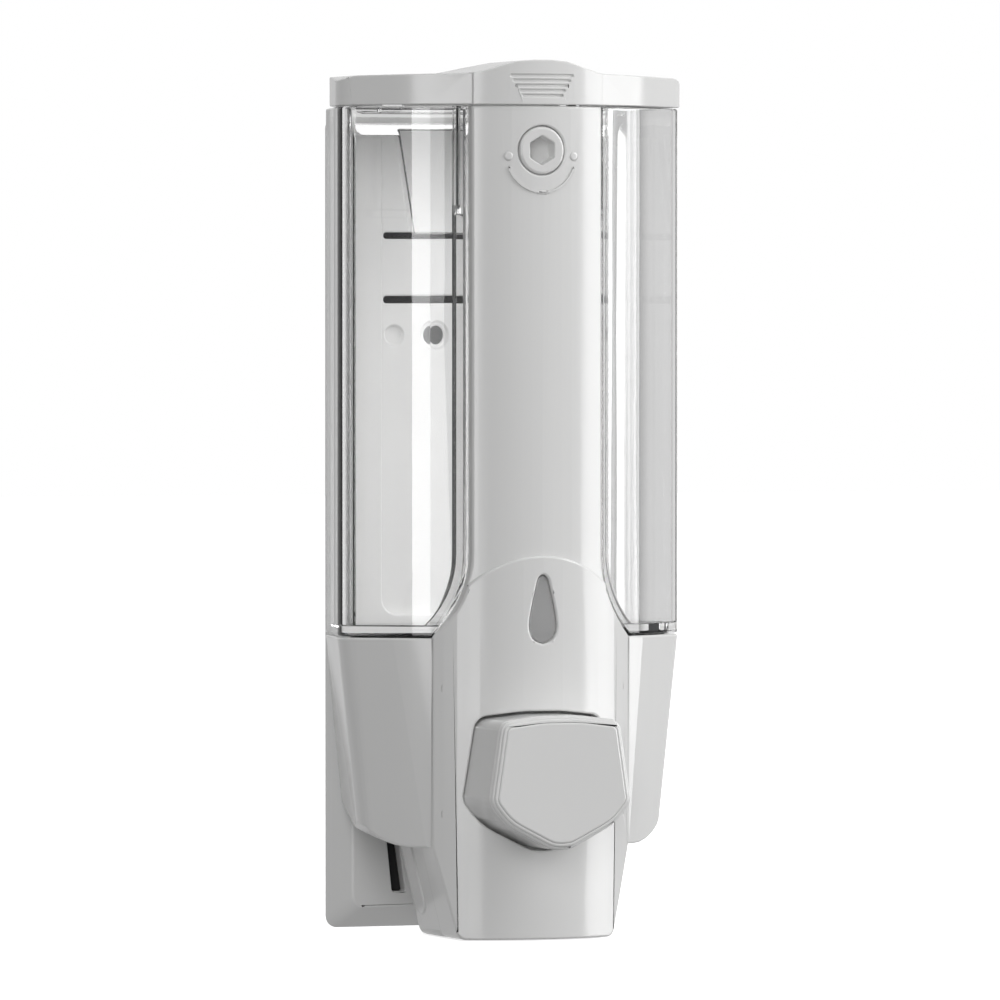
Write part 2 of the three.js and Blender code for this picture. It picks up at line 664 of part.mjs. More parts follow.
function tank() {
  const columnSpace = (grow, rear) => fromFront(
    shieldOutline(TANK_TO_COLUMN + grow, 0, LID_TOP), rear, FRONT_F + MARGIN);
  const lockPocket = (grow) => box(-LOCK_POCKET_HALF - grow, LOCK_POCKET_HALF + grow,
    LOCK_POCKET_REAR_F - grow, FRONT_F, LOCK_POCKET_BOTTOM - grow, LID_TOP);
  const outer = cut(fromAbove(bodyPlan, TANK_BOTTOM, tankTop),
    columnSpace(0, COLUMN_REAR_F - TANK_TO_COLUMN), lockPocket(0), plateRoom);
  const reservoirPlan = bodyOutline(0, LID_REAR_RADIUS, tankRearF);
  const inner = cut(
    fromAbove(inset(reservoirPlan, TANK_WALL), TANK_BOTTOM + TANK_FLOOR, tankTop + MARGIN),
    columnSpace(TANK_WALL, COLUMN_REAR_F - TANK_TO_COLUMN - TANK_WALL), lockPocket(TANK_WALL));
  const skirtBottom = TANK_BOTTOM - TANK_SKIRT_DEPTH;
  const wingLean = BODY_SIDE_HALF * (1 - WING_TAPER) * (wingTop - skirtBottom) / (wingTop - WING_BOTTOM);
  const skirtInset = HOUSING_WALL + TANK_TO_COLUMN + wingLean;
  const skirtPlan = bodyOutline(0, 0, tankRearF);
  const skirt = cut(fromAbove(inset(skirtPlan, skirtInset), skirtBottom, TANK_BOTTOM + 1),
    fromAbove(inset(skirtPlan, skirtInset + TANK_SKIRT_WALL), skirtBottom - 1, TANK_BOTTOM + 2),
    columnSpace(0, COLUMN_REAR_F - TANK_TO_COLUMN));
  const spigot = upright(SPIGOT_RADIUS, SPIGOT_BOTTOM, TANK_BOTTOM + 1, 0, OUTLET_F);
  const screwBosses = [-1, 1].map((side) => upright(
    TANK_SCREW_BOSS, LEDGE_Z + LEDGE_THICKNESS + GAP, TANK_BOTTOM + 1, side * TANK_SCREW_X, TANK_SCREW_F, 16));
  const rearLip = box(-hingeHalf, hingeHalf, tankRearF, HINGE_F - GAP, tankTop - 1, rearWallTop);
  const hook = fromFront([
    new THREE.Vector2(-HOOK_BOTTOM_HALF, HOOK_BOTTOM),
    new THREE.Vector2(HOOK_BOTTOM_HALF, HOOK_BOTTOM),
    new THREE.Vector2(HOOK_TOP_HALF, HOOK_TOP),
    new THREE.Vector2(-HOOK_TOP_HALF, HOOK_TOP),
  ], CHANNEL_FLOOR_F + TANK_TO_COLUMN, tankRearF + 1);
  const lugs = [-1, 1].map((side) => hingeLug(side));
  const pinHoles = [-1, 1].map((side) => fromSide(
    circle(HINGE_F, HINGE_Z, HINGE_PIN_RADIUS + GAP, 16),
    side * HINGE_LUG_X - HINGE_LUG_WIDTH, side * HINGE_LUG_X + HINGE_LUG_WIDTH));
  return cut(
    union(outer.subtract(inner), skirt, spigot, ...screwBosses, rearLip, hook, ...lugs),
    upright(SPIGOT_BORE, SPIGOT_BOTTOM - 1, TANK_BOTTOM + TANK_FLOOR + 1, 0, OUTLET_F),
    ...[-1, 1].map((side) => upright(SCREW_RADIUS + GAP, LEDGE_Z, TANK_BOTTOM - 1,
      side * TANK_SCREW_X, TANK_SCREW_F, 12)),
    ...pinHoles);
}

const lugRadius = HINGE_BARREL_RADIUS - GAP;
function hingeLug(side) {
  const x0 = side * HINGE_LUG_X - HINGE_LUG_WIDTH / 2;
  const x1 = side * HINGE_LUG_X + HINGE_LUG_WIDTH / 2;
  return fromSide(circle(HINGE_F, HINGE_Z, lugRadius, 20), x0, x1)
    .add(fromSide(rectangle(HINGE_F - lugRadius, tankTop - 1, HINGE_F + lugRadius - 1, HINGE_Z), x0, x1));
}

place('tank', tank(), clearPlastic);

// ---------- lid ----------
const stemTop = LID_BOTTOM + KEEPER_STEM;

function lid() {
  const plan = bodyOutline(LID_OVERHANG, LID_REAR_RADIUS, HINGE_F - HINGE_BARREL_RADIUS);
  const lidFront = COLUMN_STEP - LID_OVERHANG;
  const columnHalf = COLUMN_HALF;
  const roof = LID_TOP + MARGIN;
  const frontView = (drop) => symmetric([
    [BODY_SIDE_HALF + MARGIN, LID_BOTTOM - MARGIN],
    [BODY_SIDE_HALF + MARGIN, LID_EDGE_TOP - 2.7 - drop],
    [BODY_SIDE_HALF - 2.8, LID_EDGE_TOP - 0.6 - drop, 5],
    [COLUMN_HALF - 1.5, LID_EDGE_TOP - drop, 20],
    [RIDGE_HALF, LID_TOP - drop, 24],
  ]);
  const barrelArc = [];
  for (let step = 0; step <= 12; step += 1) {
    const angle = Math.PI / 2 + Math.PI * step / 12;
    barrelArc.push(new THREE.Vector2(
      HINGE_F + HINGE_BARREL_RADIUS * Math.cos(angle),
      HINGE_Z + HINGE_BARREL_RADIUS * Math.sin(angle)));
  }
  const sideView = [
    new THREE.Vector2(HINGE_F, LID_BOTTOM),
    new THREE.Vector2(FRONT_F + MARGIN, LID_BOTTOM),
    new THREE.Vector2(FRONT_F + MARGIN, LID_TOP),
    new THREE.Vector2(FRONT_F - LID_RIDGE_DEPTH, LID_TOP),
    ...barrelArc,
  ];
  const outer = fromAbove(plan, LID_BOTTOM, roof)
    .add(curvedBlock(columnHalf, COLUMN_REAR_F, lidFront, LID_BOTTOM, roof))
    .intersect(fromFront(frontView(0), 0, FRONT_F + MARGIN))
    .intersect(fromSide(sideView, -BODY_SIDE_HALF - MARGIN, BODY_SIDE_HALF + MARGIN));
  const rearSkirtF = HINGE_F + HINGE_BARREL_RADIUS + GAP;
  const innerSide = [
    new THREE.Vector2(rearSkirtF, LID_BOTTOM - MARGIN),
    new THREE.Vector2(FRONT_F + MARGIN, LID_BOTTOM - MARGIN),
    new THREE.Vector2(FRONT_F + MARGIN, LID_TOP - LID_WALL),
    new THREE.Vector2(FRONT_F - LID_RIDGE_DEPTH, LID_TOP - LID_WALL),
    new THREE.Vector2(rearSkirtF, HINGE_Z + HINGE_BARREL_RADIUS - LID_WALL),
  ];
  const inner = fromAbove(inset(plan, LID_WALL), LID_BOTTOM - MARGIN, roof)
    .add(curvedBlock(columnHalf - LID_WALL, COLUMN_REAR_F, lidFront + LID_WALL, LID_BOTTOM - MARGIN, roof))
    .intersect(fromFront(frontView(LID_WALL), 0, FRONT_F + MARGIN))
    .intersect(fromSide(innerSide, -BODY_SIDE_HALF - MARGIN, BODY_SIDE_HALF + MARGIN));
  const grips = [];
  for (let index = 0; index < GRIP_COUNT; index += 1) {
    const share = index / (GRIP_COUNT - 1);
    const half = GRIP_TOP_HALF + (GRIP_BOTTOM_HALF - GRIP_TOP_HALF) * share;
    const z = GRIP_TOP - index * GRIP_PITCH;
    const bar = fromFront(rectangle(-half, z - GRIP_HEIGHT / 2, half, z + GRIP_HEIGHT / 2, 0.29),
      COLUMN_REAR_F, FRONT_F + MARGIN);
    grips.push(bar.subtract(curvedBlock(half + 1, 0, lidFront + GRIP_DEPTH, LID_BOTTOM - 1, roof)));
  }
  const notches = [-1, 1].map((side) => box(
    side * HINGE_LUG_X - HINGE_LUG_WIDTH / 2 - GAP, side * HINGE_LUG_X + HINGE_LUG_WIDTH / 2 + GAP,
    0, rearSkirtF + GAP, LID_BOTTOM - MARGIN, roof));
  const pinHoles = [-1, 1].map((side) => fromSide(
    circle(HINGE_F, HINGE_Z, HINGE_PIN_RADIUS + GAP, 16),
    side * HINGE_LUG_X - HINGE_PIN_LENGTH / 2 - GAP, side * HINGE_LUG_X + HINGE_PIN_LENGTH / 2 + GAP));
  // Socket under the roof that holds the keeper's stem
  const around = GAP + KEEPER_SOCKET_WALL;
  const socket = box(keeperX - around, keeperX + KEEPER_THICKNESS + around,
    camRearF - around, keeperFrontF + around, LID_BOTTOM + 1, roof).intersect(outer);
  const stemRoom = box(keeperX - GAP, keeperX + KEEPER_THICKNESS + GAP,
    camRearF - GAP, keeperFrontF + GAP, LID_BOTTOM, stemTop + GAP);
  return cut(union(outer.subtract(inner), socket), stemRoom, ...grips, ...notches, ...pinHoles);
}

place('lid', lid(), whitePlastic);

// Keeper: a hook that hangs from the lid behind the column, for the lock's cam to catch
place('lid_keeper', union(
  box(keeperX, keeperX + KEEPER_THICKNESS, camRearF, keeperFrontF, keeperBottom, stemTop),
  box(LOCK_BOSS_RADIUS + 0.4, keeperX + KEEPER_THICKNESS, camRearF, keeperFrontF, keeperBottom, keeperTop),
), zinc);

for (const [side, name] of [[-1, 'left'], [1, 'right']]) {
  const x0 = side * HINGE_LUG_X - HINGE_PIN_LENGTH / 2;
  place(`lid_hinge_pin_${name}`,
    fromSide(circle(HINGE_F, HINGE_Z, HINGE_PIN_RADIUS, 16), x0, x0 + HINGE_PIN_LENGTH), steel);
}

// ---------- lock ----------
function hexagon(acrossFlats) {
  const radius = acrossFlats / Math.sqrt(3);
  return circle(0, 0, radius, 6).map((point) => new THREE.Vector2(-point.y, point.x + LOCK_Z));
}

function lockPlug() {
  const flangeRear = columnFrontF - LOCK_FLANGE_DEPTH + GAP;
  const barrelRear = LOCK_BOSS_REAR_F;
  const body = turnedForward([
    [0, columnFrontF], [LOCK_FACE_RADIUS - 0.4, columnFrontF], [LOCK_FACE_RADIUS, columnFrontF - 0.4],
    [LOCK_FACE_RADIUS, flangeRear], [LOCK_BARREL_RADIUS, flangeRear],
    [LOCK_BARREL_RADIUS, barrelRear], [0, barrelRear],
  ], 0, LOCK_Z, 36);
  const shank = box(-SHANK_HALF, SHANK_HALF, camRearF, barrelRear + 1,
    LOCK_Z - SHANK_HALF, LOCK_Z + SHANK_HALF);
  return cut(union(body, shank),
    fromFront(hexagon(LOCK_HEX_ACROSS_FLATS), columnFrontF - LOCK_HEX_DEPTH, FRONT_F + MARGIN),
    rod(SCREW_RADIUS + GAP, camRearF - 1, barrelRear + 1, 0, LOCK_Z, 12));
}

place('lock_plug', lockPlug(), whitePlastic);
place('lock_washer', turnedForward([
  [SHANK_HALF * Math.SQRT2 + GAP, LOCK_BOSS_REAR_F - GAP],
  [LOCK_BOSS_RADIUS - GAP, LOCK_BOSS_REAR_F - GAP],
  [LOCK_BOSS_RADIUS - GAP, camFrontF + GAP],
  [SHANK_HALF * Math.SQRT2 + GAP, camFrontF + GAP],
  [SHANK_HALF * Math.SQRT2 + GAP, LOCK_BOSS_REAR_F - GAP],
], 0, LOCK_Z), steel);

// The cam's arm points to -X, clear of the keeper, when the lock is open.
function lockCam() {
  const arm = fromFront(rounded([
    [-CAM_REACH, LOCK_Z - CAM_HALF_HEIGHT, 1.2], [0, LOCK_Z - CAM_HALF_HEIGHT],
    [0, LOCK_Z + CAM_HALF_HEIGHT], [-CAM_REACH, LOCK_Z + CAM_HALF_HEIGHT, 1.2],
  ]), camRearF, camFrontF);
  const hole = SHANK_HALF + GAP;
  return rod(CAM_HUB_RADIUS, camRearF, camFrontF, 0, LOCK_Z)
    .add(arm)
    .subtract(box(-hole, hole, camRearF - 1, camFrontF + 1, LOCK_Z - hole, LOCK_Z + hole));
}
place('lock_cam', lockCam(), zinc);

// A pan-head screw along Y. The head's face is at headRearF, towards the wall.
function screwForward(headRearF, tipF, x, z) {
  const seat = headRearF + SCREW_HEAD_HEIGHT;
  const head = turnedForward([
    [0, tipF], [SCREW_RADIUS * 0.4, tipF], [SCREW_RADIUS, tipF - 1], [SCREW_RADIUS, seat],
    [SCREW_HEAD_RADIUS, seat], [SCREW_HEAD_RADIUS, headRearF + 0.5],
    [SCREW_HEAD_RADIUS - 0.6, headRearF], [0, headRearF],
  ], x, z, 16);
  const slotHalf = 0.35;
  const slotReach = 1.5;
  const slotDepth = 0.8;
  return cut(head,
    box(x - slotReach, x + slotReach, headRearF - 1, headRearF + slotDepth, z - slotHalf, z + slotHalf),
    box(x - slotHalf, x + slotHalf, headRearF - 1, headRearF + slotDepth, z - slotReach, z + slotReach));
}
place('lock_cam_screw',
  screwForward(camRearF - GAP - SCREW_HEAD_HEIGHT, LOCK_BOSS_REAR_F + 0.7, 0, LOCK_Z), steel);

// ---------- sight window ----------
function sightWindow() {
  const rearF = frontF(DROP_HALF + DROP_FLANGE + 1, HOUSING_WALL + COLUMN_STEP) - GAP;
  const pane = fromFront(dropOutline(0), rearF - 1, FRONT_F - 0.6);
  const flange = fromFront(dropOutline(DROP_FLANGE), rearF - 1.5, rearF);
  return pane.add(flange);
}
place('sight_window', sightWindow(), clearPlastic);

// ---------- back plate and wall pad ----------
function wallHoles(radius, f0, f1) {
  return [-1, 1].map((side) => rod(radius, f0, f1, side * SCREW_HOLE_X, SCREW_HOLE_Z));
}

function backPlate() {
  const body = taperedPlate(plateShape(0), plateShape(plateBevel), PLATE_DEPTH);
  const channelTop = PLATE_TOP + MARGIN;
  const channel = fromFront(
    rectangle(-CHANNEL_HALF, CHANNEL_BOTTOM, CHANNEL_HALF, channelTop, CHANNEL_CORNER),
    CHANNEL_FLOOR_F, PLATE_DEPTH + 1);
  const padRoom = fromFront(plateShape(PAD_BORDER), -MARGIN, PAD_DEPTH + GAP);
  const guide = fromFront([
    new THREE.Vector2(-HOOK_BOTTOM_HALF - GUIDE_CLEARANCE, HOOK_BOTTOM - GUIDE_CLEARANCE),
    new THREE.Vector2(HOOK_BOTTOM_HALF + GUIDE_CLEARANCE, HOOK_BOTTOM - GUIDE_CLEARANCE),
    new THREE.Vector2(HOOK_TOP_HALF + GUIDE_CLEARANCE, HOOK_TOP),
    new THREE.Vector2(HOOK_TOP_HALF + GUIDE_CLEARANCE, channelTop),
    new THREE.Vector2(-HOOK_TOP_HALF - GUIDE_CLEARANCE, channelTop),
    new THREE.Vector2(-HOOK_TOP_HALF - GUIDE_CLEARANCE, HOOK_TOP),
  ], CHANNEL_FLOOR_F - GUIDE_DEPTH, PLATE_DEPTH + 1);
  const slotReach = CHANNEL_HALF - 1;
  const slots = SLOT_HEIGHTS.map(([z0, z1]) => fromFront(
    rectangle(-slotReach, z0, slotReach, z1, SLOT_CORNER), 0, PLATE_DEPTH + 1));
  const knockouts = [-1, 1].map((side) => rod(SCREW_HOLE_RADIUS,
    CHANNEL_FLOOR_F - KNOCKOUT_DEPTH, PLATE_DEPTH + 1, side * KNOCKOUT_X, SCREW_HOLE_Z));
  const lowSlot = [
    new THREE.Vector2(LOW_SLOT_BOTTOM_X[0], LOW_SLOT_BOTTOM),
    new THREE.Vector2(LOW_SLOT_BOTTOM_X[1], LOW_SLOT_BOTTOM),
    new THREE.Vector2(LOW_SLOT_TOP_X[1], LOW_SLOT_TOP),
    new THREE.Vector2(LOW_SLOT_TOP_X[0], LOW_SLOT_TOP),
  ];
  const lowSlots = [lowSlot, mirrored(lowSlot)].map((outline) => fromFront(outline, 0, PLATE_DEPTH + 1));
  return cut(body, channel, padRoom, guide, ...slots, ...knockouts, ...lowSlots,
    ...wallHoles(SCREW_HOLE_RADIUS, 0, PLATE_DEPTH + 1),
    ...wallHoles(SCREW_RING_RADIUS, CHANNEL_FLOOR_F - SCREW_RING_DEPTH, PLATE_DEPTH + 1));
}
place('back_plate', backPlate(), whitePlastic);
place('wall_pad', fromFront(plateShape(PAD_BORDER + GAP), 0, PAD_DEPTH), darkFoam);

// ---------- push button ----------
function pushButton() {
  const outer = buttonOutline(0);
  const rimRadius = BUTTON_EDGE_RADIUS;
  const faceSteps = 3;
  let shell = fromFront(outer, buttonRearF, BUTTON_FACE_F - rimRadius);
  for (let step = 1; step <= faceSteps; step += 1) {
    const angle = Math.PI / 2 * step / faceSteps;
    const inwards = rimRadius * (1 - Math.cos(angle));
    const top = BUTTON_FACE_F - rimRadius + rimRadius * Math.sin(angle);
    shell = shell.add(fromFront(inset(outer, inwards), BUTTON_FACE_F - rimRadius - 1, top));
  }
  const lip = fromFront(buttonOutline(BUTTON_CLEARANCE + BUTTON_LIP), buttonRearF, buttonRearF + BUTTON_LIP_DEPTH);
  const hollow = fromFront(inset(outer, BUTTON_WALL), buttonRearF - 1, BUTTON_FACE_F - BUTTON_WALL);
  const boss = rod(ROD_RADIUS + GAP + 1.6, buttonRearF + 7, BUTTON_FACE_F - 1, 0, PUMP_Z);
  const socket = rod(ROD_RADIUS + GAP, buttonRearF, BUTTON_FACE_F - BUTTON_WALL, 0, PUMP_Z);
  return cut(union(cut(union(shell, lip), hollow), boss), socket);
}
place('push_button', pushButton(), whitePlastic);

// ---------- pump ----------
const pistonFaceF = bracketRearF - GAP - 0.8 - 3;
const neckTop = SPIGOT_BOTTOM - GAP * 2 - 1.7;
const ballSeatZ = PUMP_Z + PUMP_BORE + PUMP_WALL - 0.5;

function pumpCylinder() {
  const outer = PUMP_BORE + PUMP_WALL;
  const front = bracketRearF - GAP;
  const body = rod(outer, PUMP_REAR_F, front, 0, PUMP_Z, 32);
  const flange = rod(outer + 3, front - 2, front, 0, PUMP_Z, 32);
  const neck = upright(6.2, PUMP_Z + 2, neckTop, 0, OUTLET_F);
  const neckFlange = upright(SPIGOT_RADIUS, neckTop - 2, neckTop, 0, OUTLET_F);
  const outlet = upright(4.4, PUMP_Z - outer - 2.5, PUMP_Z - 2, 0, OUTLET_F);
  return cut(union(body, flange, neck, neckFlange, outlet),
    rod(PUMP_BORE, PUMP_REAR_F + PUMP_WALL, front + 1, 0, PUMP_Z, 32),
    upright(BALL_RADIUS + GAP, ballSeatZ, neckTop + 1, 0, OUTLET_F),
    upright(PORT_RADIUS, PUMP_Z, ballSeatZ + 1, 0, OUTLET_F, 16),
    upright(PORT_RADIUS, PUMP_Z - outer - 4, PUMP_Z, 0, OUTLET_F, 16));
}
place('pump_cylinder', pumpCylinder(), innerPlastic);

function pistonRod() {
  const rodTip = BUTTON_FACE_F - BUTTON_WALL - GAP;
  const head = turnedForward([
    [0, rodTip], [ROD_RADIUS, rodTip], [ROD_RADIUS, pistonFaceF + 3], [PUMP_BORE - 0.4, pistonFaceF + 3],
    [PUMP_BORE - 0.4, pistonFaceF + 2.3], [PUMP_BORE - 2.1, pistonFaceF + 2.3],
    [PUMP_BORE - 2.1, pistonFaceF + 0.7], [PUMP_BORE - 0.4, pistonFaceF + 0.7],
    [PUMP_BORE - 0.4, pistonFaceF], [0, pistonFaceF],
  ], 0, PUMP_Z, 32);
  return head;
}
place('piston_rod', pistonRod(), innerPlastic);
place('piston_seal', turnedForward([
  [PUMP_BORE - 1.8, pistonFaceF + 2], [PUMP_BORE - GAP, pistonFaceF + 1.8],
  [PUMP_BORE - GAP, pistonFaceF + 1.2], [PUMP_BORE - 1.8, pistonFaceF + 1],
  [PUMP_BORE - 1.8, pistonFaceF + 2],
], 0, PUMP_Z, 32), blackRubber);

// Bracket that carries the cylinder and closes its front end
function pumpBracket() {
  const half = POST_X + 2.6;
  const plate = fromFront(rectangle(-half, POST_LOW_Z - 3, half, POST_HIGH_Z + 3, 2.5),
    bracketRearF, bracketFrontF);
  const holes = [];
  for (const side of [-1, 1]) {
    for (const z of [POST_LOW_Z, POST_HIGH_Z]) {
      holes.push(rod(SCREW_RADIUS + GAP, bracketRearF - 1, bracketFrontF + 1, side * POST_X, z, 12));
    }
  }
  return cut(plate, rod(ROD_RADIUS + 0.4, bracketRearF - 1, bracketFrontF + 1, 0, PUMP_Z), ...holes);
}
place('pump_bracket', pumpBracket(), innerPlastic);

for (const [side, sideName] of [[-1, 'left'], [1, 'right']]) {
  for (const [z, level] of [[POST_LOW_Z, 'lower'], [POST_HIGH_Z, 'upper']]) {
    const headRear = bracketRearF - GAP - SCREW_HEAD_HEIGHT;
    place(`bracket_screw_${level}_${sideName}`,
      screwForward(headRear, bracketScrewTip, side * POST_X, z), steel);
  }
}

// Return spring around the rod, from the bracket to the inside of the button
class Helix extends THREE.Curve {
  constructor(f0, f1) {
    super();
    this.f0 = f0;
    this.f1 = f1;
  }

  getPoint(t, target = new THREE.Vector3()) {
    const angle = 2 * Math.PI * SPRING_TURNS * t;
    return target.set(
      SPRING_RADIUS * Math.cos(angle),
      -(this.f0 + (this.f1 - this.f0) * t),
      PUMP_Z + SPRING_RADIUS * Math.sin(angle),
    );
  }
}
const springRearF = bracketFrontF + GAP + SPRING_WIRE;
const springFrontF = BUTTON_FACE_F - BUTTON_WALL - GAP - SPRING_WIRE;
place('return_spring', solid(new THREE.ExtrudeGeometry(
  new THREE.Shape(circle(0, 0, SPRING_WIRE, 5)),
  { steps: SPRING_TURNS * 12, extrudePath: new Helix(springRearF, springFrontF), bevelEnabled: false },
)), steel);

// ---------- inlet: seat, ball and the nut that holds the pump to the tank ----------
place('inlet_seat', turnedUpright([
  [2, neckTop + GAP + 0.8], [2.8, neckTop + GAP], [SPIGOT_RADIUS - 1, neckTop + GAP],
  [SPIGOT_RADIUS - 1, SPIGOT_BOTTOM - GAP], [2, SPIGOT_BOTTOM - GAP], [2, neckTop + GAP + 0.8],
], 0, OUTLET_F), greyRubber);

const ballCentreZ = ballSeatZ + Math.sqrt(BALL_RADIUS ** 2 - PORT_RADIUS ** 2) + GAP;
place('inlet_ball', solid(new THREE.SphereGeometry(BALL_RADIUS, 18, 12)
  .rotateX(Math.PI / 2).translate(0, -OUTLET_F, ballCentreZ)), steel);

function collarNut() {
  const outer = SPIGOT_RADIUS + GAP + 2.2;
  const bottom = neckTop - 2 - GAP - 1.6;
  const top = TANK_BOTTOM - TANK_SKIRT_DEPTH - 0.8;
  const body = turnedUpright([
    [6.2 + GAP, bottom], [outer, bottom], [outer, top], [SPIGOT_RADIUS + GAP, top],
    [SPIGOT_RADIUS + GAP, neckTop - 2 - GAP], [6.2 + GAP, neckTop - 2 - GAP], [6.2 + GAP, bottom],
  ], 0, OUTLET_F, 32);
  const flutes = [];
  const fluteCount = 12;
  for (let index = 0; index < fluteCount; index += 1) {
    const angle = 2 * Math.PI * index / fluteCount;
    flutes.push(upright(0.8, bottom - 1, top + 1,
      (outer + 0.3) * Math.cos(angle), OUTLET_F + (outer + 0.3) * Math.sin(angle), 8));
  }
  return cut(body, ...flutes);
}
place('collar_nut', collarNut(), innerPlastic);

// ---------- outlet: spout tube and rubber nozzle ----------
const outletBottom = PUMP_Z - PUMP_BORE - PUMP_WALL - 2.5;
function spoutTube() {
  const top = outletBottom - GAP;
  const path = new THREE.CubicBezierCurve3(
    new THREE.Vector3(0, -OUTLET_F, top),
    new THREE.Vector3(0, -OUTLET_F, top - 10),
    new THREE.Vector3(0, -NOZZLE_F, NOZZLE_TOP + 8),
    new THREE.Vector3(0, -NOZZLE_F, NOZZLE_TOP + 1),
  );
  const section = (radius) => new THREE.Shape(circle(0, 0, radius, 12));
  const tube = (radius) => solid(new THREE.ExtrudeGeometry(section(radius),
    { steps: 8, extrudePath: path, bevelEnabled: false }));
  const cup = ring(4.4 + GAP, 6, top - 2, top + 2.2, 0, OUTLET_F)
    .add(upright(6, top - 2, top, 0, OUTLET_F));
  const longBore = upright(SPOUT_INNER, top - 3, top + 1, 0, OUTLET_F, 12)
    .add(upright(SPOUT_INNER, NOZZLE_TOP - 5, NOZZLE_TOP + 2, 0, NOZZLE_F, 12));
  const end = upright(SPOUT_OUTER, NOZZLE_TOP - 3, NOZZLE_TOP + 1.3, 0, NOZZLE_F, 12);
  return cut(union(tube(SPOUT_OUTER), cup, end), tube(SPOUT_INNER), longBore);
}
place('spout_tube', spoutTube(), innerPlastic);

function dripNozzle() {
  const bore = SPOUT_OUTER + GAP;
  const body = turnedUpright([
    [bore, NOZZLE_TOP], [bore, NOZZLE_TOP - 3 - GAP], [1.6, NOZZLE_TOP - 4 - GAP],
    [0.7, NOZZLE_TOP - 10], [2.4, NOZZLE_TOP - 10], [3.6, NOZZLE_TOP - 5.5],
    [bore + 1.5, NOZZLE_TOP - 4], [bore + 1.5, NOZZLE_TOP], [bore, NOZZLE_TOP],
  ], 0, NOZZLE_F);
  return body;
}
place('drip_nozzle', dripNozzle(), blackRubber);

// ---------- screws that hold the housing up to the tank ----------
for (const [side, name] of [[-1, 'left'], [1, 'right']]) {
  const seat = LEDGE_Z - GAP;
  const tip = TANK_BOTTOM - 2;
  const x = side * TANK_SCREW_X;
  const screw = turnedUpright([
    [0, seat - SCREW_HEAD_HEIGHT], [SCREW_HEAD_RADIUS - 0.6, seat - SCREW_HEAD_HEIGHT],
    [SCREW_HEAD_RADIUS, seat - SCREW_HEAD_HEIGHT + 0.5], [SCREW_HEAD_RADIUS, seat],
    [SCREW_RADIUS, seat], [SCREW_RADIUS, tip - 1], [SCREW_RADIUS * 0.4, tip], [0, tip],
  ], x, TANK_SCREW_F, 16);
  const slot = box(x - 1.5, x + 1.5, TANK_SCREW_F - 0.35, TANK_SCREW_F + 0.35,
    seat - SCREW_HEAD_HEIGHT - 1, seat - SCREW_HEAD_HEIGHT + 0.8);
  place(`tank_screw_${name}`, screw.subtract(slot), steel);
}

export default dispenser;
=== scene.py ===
import math

import bmesh
import bpy
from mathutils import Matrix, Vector
from mathutils.bvhtree import BVHTree


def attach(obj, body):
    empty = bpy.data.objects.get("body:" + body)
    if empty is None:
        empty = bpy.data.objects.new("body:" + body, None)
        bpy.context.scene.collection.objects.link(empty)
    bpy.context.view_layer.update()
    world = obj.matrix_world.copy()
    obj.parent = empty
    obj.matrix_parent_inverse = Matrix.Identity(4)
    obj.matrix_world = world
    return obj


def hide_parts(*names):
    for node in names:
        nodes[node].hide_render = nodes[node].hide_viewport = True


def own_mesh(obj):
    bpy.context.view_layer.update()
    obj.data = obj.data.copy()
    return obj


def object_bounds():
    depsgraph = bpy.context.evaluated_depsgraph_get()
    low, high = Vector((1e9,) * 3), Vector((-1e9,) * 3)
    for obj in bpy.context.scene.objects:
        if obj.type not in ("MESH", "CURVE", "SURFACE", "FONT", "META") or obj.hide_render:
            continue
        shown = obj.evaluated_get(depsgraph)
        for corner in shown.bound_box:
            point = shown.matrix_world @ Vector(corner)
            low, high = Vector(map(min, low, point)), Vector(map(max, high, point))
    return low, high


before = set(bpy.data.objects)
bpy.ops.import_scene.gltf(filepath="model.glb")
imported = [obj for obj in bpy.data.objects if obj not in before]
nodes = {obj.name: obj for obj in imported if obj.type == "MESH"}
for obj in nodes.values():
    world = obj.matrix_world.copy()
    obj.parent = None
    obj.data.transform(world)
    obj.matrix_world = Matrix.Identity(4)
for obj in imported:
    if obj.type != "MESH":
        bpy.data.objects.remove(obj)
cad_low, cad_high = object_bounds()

scene = bpy.context.scene


# Camera. A long lens a little above mid height, about 21 degrees round to the left.
# The object fills most of the height of the frame, and a small shift centres it.
VIEW_AZIMUTH = math.radians(-21.276)
VIEW_ELEVATION = math.radians(0.949)
VIEW_DISTANCE = 2.384
LENS_MM = 356.9
FILM_MM = 36
SHIFT = (-0.0140, -0.0043)
AIM_HEIGHT = 0.0007
FAR_CLIP = 50
aim = Vector((0, (cad_low.y + cad_high.y) / 2, AIM_HEIGHT))
towards_camera = Vector((
    math.sin(VIEW_AZIMUTH) * math.cos(VIEW_ELEVATION),
    -math.cos(VIEW_AZIMUTH) * math.cos(VIEW_ELEVATION),
    math.sin(VIEW_ELEVATION),
))
bpy.ops.object.camera_add(location=aim + towards_camera * VIEW_DISTANCE)
camera = bpy.context.object
camera.rotation_euler = (-towards_camera).to_track_quat("-Z", "Y").to_euler()
camera.data.lens = LENS_MM
camera.data.sensor_width = FILM_MM
camera.data.shift_x, camera.data.shift_y = SHIFT
camera.data.clip_end = FAR_CLIP
scene.camera = camera
scene.view_settings.view_transform = "Standard"


# Back plate. A white moulded plate that is screwed to the wall, with a channel down its front
# for the hook of the tank, two slots, two screw holes with rings and two blind knock-outs.
# Satin white plastic with a fine moulded skin, duller than the outer mouldings.
MERGE_DISTANCE = 2e-6
FLAT_ANGLE = math.radians(0.4)
SKIN_OFFSET = 1e-4
CLEAR_REACH = 0.08


def deselect():
    if bpy.context.object and bpy.context.object.mode != "OBJECT":
        bpy.ops.object.mode_set(mode="OBJECT")
    bpy.ops.object.select_all(action="DESELECT")


